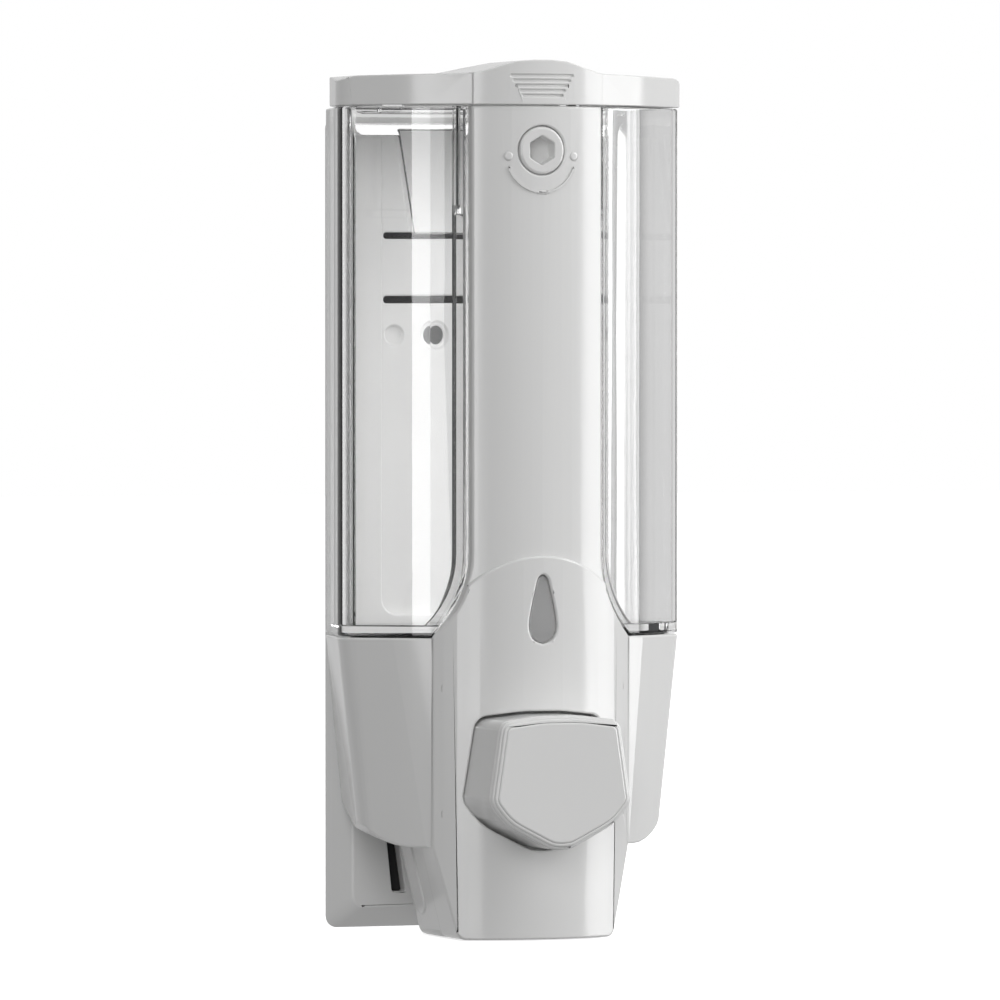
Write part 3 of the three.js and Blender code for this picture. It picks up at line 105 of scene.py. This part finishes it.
def make_active(piece):
    deselect()
    piece.select_set(True)
    bpy.context.view_layer.objects.active = piece


def shell_of(node, name):
    """A merged copy of a node's solid, with its flat faces in one piece."""
    piece = bpy.data.objects.new(name, nodes[node].data.copy())
    scene.collection.objects.link(piece)
    piece.data.materials.clear()
    make_active(piece)
    bpy.ops.object.mode_set(mode="EDIT")
    bpy.ops.mesh.select_all(action="SELECT")
    bpy.ops.mesh.remove_doubles(threshold=MERGE_DISTANCE)
    bpy.ops.mesh.dissolve_limited(angle_limit=FLAT_ANGLE)
    bpy.ops.object.mode_set(mode="OBJECT")
    return piece


def mark_outer_edges(piece, sharp):
    """Gives a bevel weight to each convex sharp edge that nothing of the piece stands in front of."""
    make_active(piece)
    bpy.ops.object.mode_set(mode="EDIT")
    mesh = bmesh.from_edit_mesh(piece.data)
    walls = BVHTree.FromBMesh(mesh)
    weight = mesh.edges.layers.float.new("bevel_weight_edge")
    for edge in mesh.edges:
        if len(edge.link_faces) != 2 or not edge.is_convex:
            continue
        if edge.calc_face_angle(0) < math.radians(sharp):
            continue
        outwards = (edge.link_faces[0].normal + edge.link_faces[1].normal).normalized()
        middle = (edge.verts[0].co + edge.verts[1].co) / 2
        if walls.ray_cast(middle + outwards * SKIN_OFFSET, outwards, CLEAR_REACH)[0] is None:
            edge[weight] = 1
    bmesh.update_edit_mesh(piece.data)
    bpy.ops.object.mode_set(mode="OBJECT")


def round_edges(piece, width, sharp=32, segments=2, outer_only=False):
    """Rounds the moulded edges and shades the faces between them smooth."""
    if outer_only:
        mark_outer_edges(piece, sharp)
    make_active(piece)
    bpy.ops.object.shade_smooth_by_angle(angle=math.radians(sharp))
    bpy.ops.object.modifier_add(type="BEVEL")
    bevel = piece.modifiers[-1]
    bevel.width = width
    bevel.segments = segments
    bevel.limit_method = "WEIGHT" if outer_only else "ANGLE"
    bevel.angle_limit = math.radians(sharp)
    bevel.use_clamp_overlap = False
    bevel.miter_outer = "MITER_ARC"
    bpy.ops.object.modifier_apply(modifier=bevel.name)
    bpy.ops.object.modifier_add(type="WEIGHTED_NORMAL")
    weighted = piece.modifiers[-1]
    weighted.keep_sharp = True
    weighted.weight = 80
    bpy.ops.object.modifier_apply(modifier=weighted.name)


def finish_piece(piece, node, body, material):
    """Gives a piece its material and the body that carries it, and hides the node it stands in for.
    """
    piece.data.materials.clear()
    piece.data.materials.append(material)
    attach(piece, body)
    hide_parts(node)


def moulded_finish():
    """Colour, roughness and skin height of a moulded plastic surface."""
    group = bpy.data.node_groups.new("moulded_finish", "ShaderNodeTree")
    face = group.interface
    for name, value in (("Light Tone", (0.8, 0.8, 0.8, 1)), ("Dark Tone", (0.75, 0.75, 0.75, 1))):
        face.new_socket(name, in_out="INPUT", socket_type="NodeSocketColor").default_value = value
    for name, value in (("Gloss", 0.2), ("Gloss Spread", 0.06), ("Skin Size", 900.0)):
        face.new_socket(name, in_out="INPUT", socket_type="NodeSocketFloat").default_value = value
    face.new_socket("Color", in_out="OUTPUT", socket_type="NodeSocketColor")
    face.new_socket("Roughness", in_out="OUTPUT", socket_type="NodeSocketFloat")
    face.new_socket("Height", in_out="OUTPUT", socket_type="NodeSocketFloat")
    made = group.nodes
    wires = group.links
    entry = made.new("NodeGroupInput")
    leave = made.new("NodeGroupOutput")
    where = made.new("ShaderNodeTexCoord")
    flow = made.new("ShaderNodeTexNoise")
    flow.inputs["Scale"].default_value = 26
    flow.inputs["Detail"].default_value = 3
    wires.new(where.outputs["Object"], flow.inputs["Vector"])
    tone = made.new("ShaderNodeMix")
    tone.data_type = "RGBA"
    wires.new(flow.outputs["Fac"], tone.inputs["Factor"])
    wires.new(entry.outputs["Light Tone"], tone.inputs["A"])
    wires.new(entry.outputs["Dark Tone"], tone.inputs["B"])
    wires.new(tone.outputs["Result"], leave.inputs["Color"])
    handling = made.new("ShaderNodeTexNoise")
    handling.inputs["Scale"].default_value = 90
    handling.inputs["Detail"].default_value = 4
    wires.new(where.outputs["Object"], handling.inputs["Vector"])
    spread = made.new("ShaderNodeMath")
    spread.operation = "MULTIPLY_ADD"
    wires.new(handling.outputs["Fac"], spread.inputs[0])
    wires.new(entry.outputs["Gloss Spread"], spread.inputs[1])
    wires.new(entry.outputs["Gloss"], spread.inputs[2])
    wires.new(spread.outputs["Value"], leave.inputs["Roughness"])
    skin = made.new("ShaderNodeTexNoise")
    skin.inputs["Detail"].default_value = 2
    wires.new(where.outputs["Object"], skin.inputs["Vector"])
    wires.new(entry.outputs["Skin Size"], skin.inputs["Scale"])
    wires.new(skin.outputs["Fac"], leave.inputs["Height"])
    return group


finish_group = moulded_finish()


def moulded_material(name, light, dark, gloss, spread, skin_size, skin_depth):
    """An opaque surface whose tone, gloss and skin all vary a little."""
    material = bpy.data.materials.new(name)
    material.use_nodes = True
    made = material.node_tree.nodes
    wires = material.node_tree.links
    shader = made["Principled BSDF"]
    finish = made.new("ShaderNodeGroup")
    finish.node_tree = finish_group
    finish.inputs["Light Tone"].default_value = (*light, 1)
    finish.inputs["Dark Tone"].default_value = (*dark, 1)
    finish.inputs["Gloss"].default_value = gloss
    finish.inputs["Gloss Spread"].default_value = spread
    finish.inputs["Skin Size"].default_value = skin_size
    bump = made.new("ShaderNodeBump")
    bump.inputs["Strength"].default_value = 0.15
    bump.inputs["Distance"].default_value = skin_depth
    wires.new(finish.outputs["Color"], shader.inputs["Base Color"])
    wires.new(finish.outputs["Roughness"], shader.inputs["Roughness"])
    wires.new(finish.outputs["Height"], bump.inputs["Height"])
    wires.new(bump.outputs["Normal"], shader.inputs["Normal"])
    return material


gloss_white = moulded_material(
    "gloss_white_plastic", (0.80, 0.80, 0.795), (0.77, 0.77, 0.765), 0.13, 0.07, 420, 2e-5)
plate_white = moulded_material(
    "plate_white_plastic", (0.84, 0.84, 0.835), (0.80, 0.80, 0.795), 0.26, 0.1, 600, 3e-5)

plate = shell_of("back_plate", "wall_plate")
round_edges(plate, 0.0004)
finish_piece(plate, "back_plate", "wall_unit", plate_white)


# Wall pad. A thin sheet in the rear of the plate, seen through its openings. Its near-black colour is
# painted shade, standing in for the deep shade seen through those openings. Dull, with a fine
# cell-like skin.
pad_shade_material = moulded_material(
    "dark_foam", (0.035, 0.035, 0.037), (0.02, 0.02, 0.021), 0.8, 0.15, 2600, 2e-4)
pad = shell_of("wall_pad", "painted_shade_pad")
round_edges(pad, 0.0002)
finish_piece(pad, "wall_pad", "wall_unit", pad_shade_material)


# Tank. A clear injection-moulded reservoir with 2 mm walls, hung on the plate by its hook.
# Painted shade: towards the wall of the room the outer side walls are coloured near-black. This
# stands in for the dark edges that light running along them shows there.
PAINTED_SHADE_MIN_X = 0.0365
PAINTED_SHADE_START_Y = -0.020
PAINTED_SHADE_FULL_Y = -0.008
PAINTED_SHADE_TONE = (0.03, 0.03, 0.032, 1)
PLASTIC_IOR = 1.49


def clear_material(name, tint, rough, clarity=1.0):
    """A clear plastic that lets light through to what is behind it, with painted shade darkening its
    outer side walls towards the rear.
    """
    material = bpy.data.materials.new(name)
    material.use_nodes = True
    made = material.node_tree.nodes
    wires = material.node_tree.links
    shader = made["Principled BSDF"]
    shader.inputs["Transmission Weight"].default_value = clarity
    shader.inputs["IOR"].default_value = PLASTIC_IOR
    finish = made.new("ShaderNodeGroup")
    finish.node_tree = finish_group
    finish.inputs["Light Tone"].default_value = (*tint, 1)
    finish.inputs["Dark Tone"].default_value = (*[part * 0.985 for part in tint], 1)
    finish.inputs["Gloss"].default_value = rough
    finish.inputs["Gloss Spread"].default_value = 0.02
    finish.inputs["Skin Size"].default_value = 120
    bump = made.new("ShaderNodeBump")
    bump.inputs["Strength"].default_value = 0.1
    bump.inputs["Distance"].default_value = 2e-5
    where = made.new("ShaderNodeTexCoord")
    axes = made.new("ShaderNodeSeparateXYZ")
    wires.new(where.outputs["Object"], axes.inputs["Vector"])
    # Painted shade mask: the outer side walls, fading in towards the wall of the room.
    nearness = made.new("ShaderNodeMapRange")
    nearness.inputs["From Min"].default_value = PAINTED_SHADE_START_Y
    nearness.inputs["From Max"].default_value = PAINTED_SHADE_FULL_Y
    wires.new(axes.outputs["Y"], nearness.inputs["Value"])
    aside = made.new("ShaderNodeMath")
    aside.operation = "ABSOLUTE"
    wires.new(axes.outputs["X"], aside.inputs[0])
    outer_side = made.new("ShaderNodeMath")
    outer_side.operation = "GREATER_THAN"
    outer_side.inputs[1].default_value = PAINTED_SHADE_MIN_X
    wires.new(aside.outputs["Value"], outer_side.inputs[0])
    painted_shade_mask = made.new("ShaderNodeMath")
    painted_shade_mask.operation = "MULTIPLY"
    wires.new(nearness.outputs["Result"], painted_shade_mask.inputs[0])
    wires.new(outer_side.outputs["Value"], painted_shade_mask.inputs[1])
    # Mixes the painted shade's near-black tone into the base colour.
    shade = made.new("ShaderNodeMix")
    shade.data_type = "RGBA"
    shade.inputs["B"].default_value = PAINTED_SHADE_TONE
    wires.new(painted_shade_mask.outputs["Value"], shade.inputs["Factor"])
    wires.new(finish.outputs["Color"], shade.inputs["A"])
    wires.new(shade.outputs["Result"], shader.inputs["Base Color"])
    wires.new(finish.outputs["Roughness"], shader.inputs["Roughness"])
    wires.new(finish.outputs["Height"], bump.inputs["Height"])
    wires.new(bump.outputs["Normal"], shader.inputs["Normal"])
    path = made.new("ShaderNodeLightPath")
    passing = made.new("ShaderNodeBsdfTransparent")
    passing.inputs["Color"].default_value = (1, 1, 1, 1)
    blend = made.new("ShaderNodeMixShader")
    wires.new(path.outputs["Is Shadow Ray"], blend.inputs["Fac"])
    wires.new(shader.outputs["BSDF"], blend.inputs[1])
    wires.new(passing.outputs["BSDF"], blend.inputs[2])
    wires.new(blend.outputs["Shader"], made["Material Output"].inputs["Surface"])
    return material


clear_plastic = clear_material("clear_plastic", (0.985, 0.985, 0.985), 0.005)
tank = shell_of("tank", "clear_reservoir")
round_edges(tank, 0.0004)
finish_piece(tank, "tank", "wall_unit", clear_plastic)


# Front housing. One white moulding: the column, the arched shield, the wings and the spout
# shroud. Two screws from below hold it to the tank.
housing = shell_of("front_housing", "front_shell")
round_edges(housing, 0.0005, segments=3, outer_only=True)
finish_piece(housing, "front_housing", "wall_unit", gloss_white)


# Sight window. A drop-shaped pane pressed into the shield from behind, in smoky plastic
# that shows grey against the dark inside.
window = shell_of("sight_window", "drop_window")
round_edges(window, 0.0002)
smoky_plastic = clear_material("smoky_window", (0.55, 0.55, 0.55), 0.12, clarity=0.45)
finish_piece(window, "sight_window", "wall_unit", smoky_plastic)


# Lid. A white moulding that swings up on two steel pins, with a zinc keeper under its roof.
# Its edges are rounded less than the housing's, because the finger grip's grooves are fine.
SMALL_EDGE = 0.00012


def metal_material(name, light, dark, gloss, spread):
    """A plated or cast metal with a slightly uneven polish."""
    material = moulded_material(name, light, dark, gloss, spread, 1500, 2e-5)
    material.node_tree.nodes["Principled BSDF"].inputs["Metallic"].default_value = 1
    return material


def refine(names, body, material):
    """Puts a rounded copy in the place of each small node."""
    for node in names:
        part = shell_of(node, "fine_" + node)
        round_edges(part, SMALL_EDGE)
        finish_piece(part, node, body, material)


steel = metal_material("bright_steel", (0.62, 0.63, 0.65), (0.5, 0.51, 0.53), 0.22, 0.15)
zinc = metal_material("zinc_plate", (0.66, 0.66, 0.65), (0.55, 0.55, 0.54), 0.3, 0.2)
cover = shell_of("lid", "hinged_lid")
round_edges(cover, 0.00027, segments=3, outer_only=True)
finish_piece(cover, "lid", "lid", gloss_white)
refine(["lid_hinge_pin_left", "lid_hinge_pin_right"], "wall_unit", steel)
refine(["lid_keeper"], "lid", zinc)


# Lock. A white plug with a hex socket, held from behind by a washer, a zinc cam and a screw.
# They turn together with the key.
plug = shell_of("lock_plug", "hex_plug")
round_edges(plug, 0.00025)
finish_piece(plug, "lock_plug", "lock", gloss_white)
refine(["lock_washer", "lock_cam_screw"], "lock", steel)
refine(["lock_cam"], "lock", zinc)


# Pump. A horizontal cylinder on a bracket behind the shield, with its piston, seal and the
# inlet ball on a grey rubber seat. The collar nut holds the cylinder to the tank's spigot.
inner_white = moulded_material(
    "inner_plastic", (0.70, 0.70, 0.68), (0.65, 0.65, 0.63), 0.38, 0.12, 700, 4e-5)
black_rubber = moulded_material(
    "black_rubber", (0.022, 0.022, 0.022), (0.014, 0.014, 0.014), 0.6, 0.2, 1500, 6e-5)
grey_rubber = moulded_material(
    "grey_rubber", (0.26, 0.26, 0.255), (0.2, 0.2, 0.198), 0.62, 0.2, 1500, 6e-5)
refine(["pump_cylinder", "pump_bracket", "collar_nut"], "wall_unit", inner_white)
refine(["inlet_seat"], "wall_unit", grey_rubber)
refine(["inlet_ball"], "inlet_ball", steel)
refine(["piston_rod"], "button", inner_white)
refine(["piston_seal"], "button", black_rubber)


# Outlet. The spout tube turns down from the cylinder inside the shroud, and a soft black
# nozzle on its end stops the drips.
refine(["spout_tube"], "wall_unit", inner_white)
refine(["drip_nozzle"], "wall_unit", black_rubber)


# Screws. Plated steel, four through the bracket into the housing's posts and two through
# the housing's ledges into the tank.
SIDES = ("left", "right")
bracket_screws = [f"bracket_screw_{level}_{side}" for level in ("lower", "upper") for side in SIDES]
tank_screws = [f"tank_screw_{side}" for side in SIDES]
refine(bracket_screws + tank_screws, "wall_unit", steel)


# Return spring. A steel coil that stands on the bracket and pushes the button out.
coil = shell_of("return_spring", "coil_spring")
round_edges(coil, 0.00005, sharp=60, segments=1)
finish_piece(coil, "return_spring", "wall_unit", steel)
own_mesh(coil)


# Push button. A deep white cap with a flat face and soft corners, on the end of the piston rod.
# Its lip inside the shield keeps it from coming out.
cap = shell_of("push_button", "press_button")
round_edges(cap, 0.0005, segments=3, outer_only=True)
finish_piece(cap, "push_button", "button", gloss_white)


# Studio. A pale floor, a large soft light on the right, one in front on the left and one above.
# What the object mirrors and bends is bright behind it, dim in front and darkest at the left.
FLOOR_SIZE = 12
FLOOR_DROP = 0.0004
LIT_POINT = (0, -0.03, 0)
DIM_FRONT = 0.26
BRIGHT_BEHIND = 0.75
LEFT_SHARE = 0.25


def floor_material():
    material = bpy.data.materials.new("pale_floor")
    material.use_nodes = True
    shader = material.node_tree.nodes["Principled BSDF"]
    shader.inputs["Base Color"].default_value = (0.9, 0.9, 0.9, 1)
    shader.inputs["Roughness"].default_value = 0.9
    shader.inputs["Specular IOR Level"].default_value = 0
    shader.inputs["Emission Color"].default_value = (1, 1, 1, 1)
    shader.inputs["Emission Strength"].default_value = 0.8
    return material


deselect()
bpy.ops.mesh.primitive_plane_add(size=FLOOR_SIZE, location=(0, 0, cad_low.z - FLOOR_DROP))
floor = bpy.context.object
floor.name = "pale_floor"
floor.data.materials.append(floor_material())
floor.visible_glossy = False
floor.visible_diffuse = False
floor.visible_transmission = False


def soft_light(name, place, size, power):
    bpy.ops.object.light_add(type="AREA", location=place)
    light = bpy.context.object
    light.name = name
    light.data.shape = "RECTANGLE"
    light.data.size = size[0]
    light.data.size_y = size[1]
    light.data.energy = power
    light.rotation_euler = (Vector(LIT_POINT) - Vector(place)).to_track_quat("-Z", "Y").to_euler()


soft_light("right_soft_light", (1.4, -0.7, 0.4), (0.7, 1.6), 20)
soft_light("front_soft_light", (-0.9, -1.7, 0.5), (0.6, 1.6), 13)
soft_light("top_soft_light", (0, -0.3, 1.5), (1.4, 1.4), 5)

world = bpy.data.worlds.new("studio")
scene.world = world
world.use_nodes = True
made = world.node_tree.nodes
wires = world.node_tree.links
background = made["Background"]
where = made.new("ShaderNodeTexCoord")
parts = made.new("ShaderNodeSeparateXYZ")
wires.new(where.outputs["Generated"], parts.inputs["Vector"])
behind = made.new("ShaderNodeMapRange")
behind.interpolation_type = "SMOOTHSTEP"
behind.inputs["From Min"].default_value = -0.2
behind.inputs["From Max"].default_value = 0.7
behind.inputs["To Min"].default_value = DIM_FRONT
behind.inputs["To Max"].default_value = BRIGHT_BEHIND
wires.new(parts.outputs["Y"], behind.inputs["Value"])
left = made.new("ShaderNodeMapRange")
left.interpolation_type = "SMOOTHSTEP"
left.inputs["From Min"].default_value = -0.95
left.inputs["From Max"].default_value = -0.55
left.inputs["To Min"].default_value = LEFT_SHARE
left.inputs["To Max"].default_value = 1.0
wires.new(parts.outputs["X"], left.inputs["Value"])
spread = made.new("ShaderNodeMath")
spread.operation = "MULTIPLY"
wires.new(behind.outputs["Result"], spread.inputs[0])
wires.new(left.outputs["Result"], spread.inputs[1])
path = made.new("ShaderNodeLightPath")
pick = made.new("ShaderNodeMix")
wires.new(path.outputs["Is Camera Ray"], pick.inputs["Factor"])
wires.new(spread.outputs["Value"], pick.inputs["A"])
pick.inputs["B"].default_value = 1.0
wires.new(pick.outputs["Result"], background.inputs["Strength"])
background.inputs["Color"].default_value = (1, 1, 1, 1)
